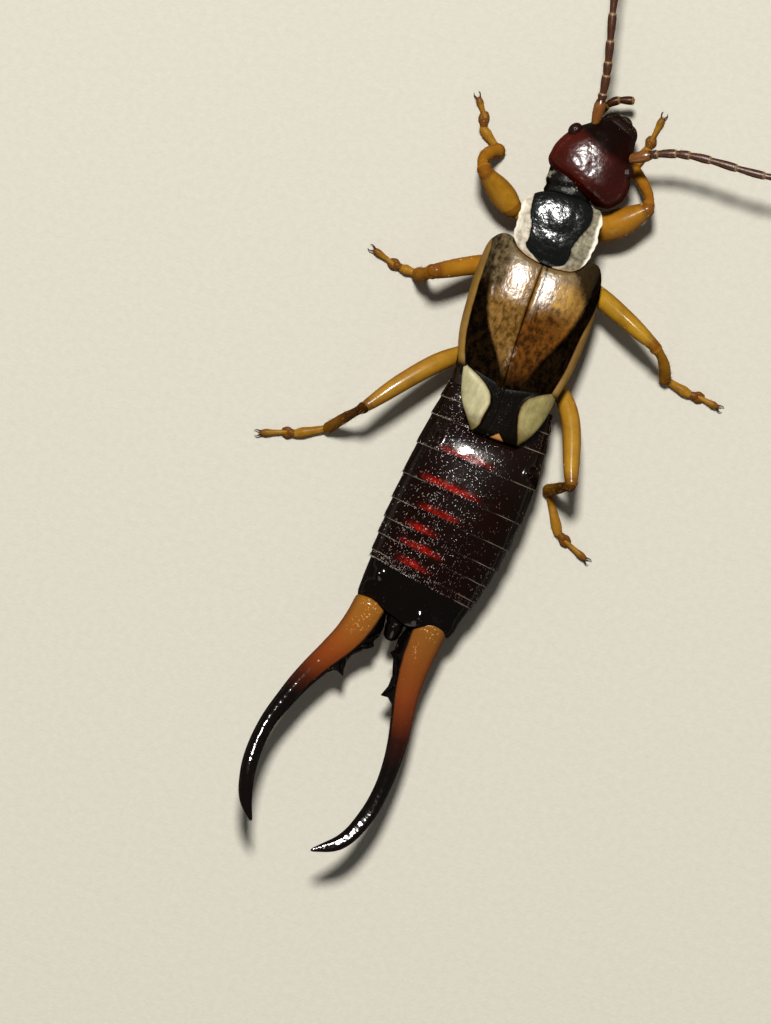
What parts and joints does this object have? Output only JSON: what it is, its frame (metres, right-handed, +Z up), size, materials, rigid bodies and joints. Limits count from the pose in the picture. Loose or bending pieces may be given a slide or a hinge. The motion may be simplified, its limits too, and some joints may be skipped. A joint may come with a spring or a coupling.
{
  "type": "earwig model",
  "caption": "Life-size still model of a male long-forceps earwig standing with its head turned, its feelers forward and its toothed forceps half open behind.",
  "frame": {"origin": "on the floor plane under the feet, at the middle of the model's box in plan", "axes": "+Z is up, the head and feelers point towards -Y, the forceps towards +Y, and +X is the animal's left"},
  "size_m": [0.0147, 0.0278, 0.0023],
  "materials": {
    "head_cuticle": "glossy dark mahogany red, nearly black at the front",
    "dark_cuticle": "satin black-brown cuticle of the mouthparts, neck and thorax",
    "eye": "glossy black compound eye with a fine facet grain",
    "antenna": "satin dark brown with pale joints, orange-brown at the root",
    "pronotum": "glossy black disc with pale translucent side margins",
    "wing_case": "satin golden brown with a black band and an orange-brown outer margin",
    "wing_tip": "pale greenish cream with black inner margins",
    "abdomen": "satin mahogany black with red glints along the rings",
    "forceps": "glossy amber at the root through red-brown to black at the tips",
    "leg": "satin amber yellow with brown shins and foot joints"
  },
  "bodies": {
    "root": {"head": "head_cuticle", "labrum": "dark_cuticle", "labium": "dark_cuticle", "neck": "dark_cuticle", "pronotum": "pronotum", "prothorax": "dark_cuticle", "pterothorax": "dark_cuticle", "abdomen": "abdomen", "last_segment": "abdomen", "pygidium": "abdomen", "eye_left": "eye", "eye_right": "eye", "mandible_left": "dark_cuticle", "mandible_right": "dark_cuticle", "maxillary_palp_left": "antenna", "maxillary_palp_right": "antenna", "antenna_left_scape": "antenna", "antenna_right_scape": "antenna", "antenna_left_flagellum": "antenna", "antenna_right_flagellum": "antenna", "elytron_left": "wing_case", "elytron_right": "wing_case", "hindwing_tip_left": "wing_tip", "hindwing_tip_right": "wing_tip", "forceps_left": "forceps", "forceps_right": "forceps", "leg_fore_left_coxa": "leg", "leg_fore_left_femur": "leg", "leg_fore_left_tibia": "leg", "leg_fore_left_tarsus": "leg", "leg_fore_right_coxa": "leg", "leg_fore_right_femur": "leg", "leg_fore_right_tibia": "leg", "leg_fore_right_tarsus": "leg", "leg_mid_left_coxa": "leg", "leg_mid_left_femur": "leg", "leg_mid_left_tibia": "leg", "leg_mid_left_tarsus": "leg", "leg_mid_right_coxa": "leg", "leg_mid_right_femur": "leg", "leg_mid_right_tibia": "leg", "leg_mid_right_tarsus": "leg", "leg_hind_left_coxa": "leg", "leg_hind_left_femur": "leg", "leg_hind_left_tibia": "leg", "leg_hind_left_tarsus": "leg", "leg_hind_right_coxa": "leg", "leg_hind_right_femur": "leg", "leg_hind_right_tibia": "leg", "leg_hind_right_tarsus": "leg"}
  },
  "joints": []
}
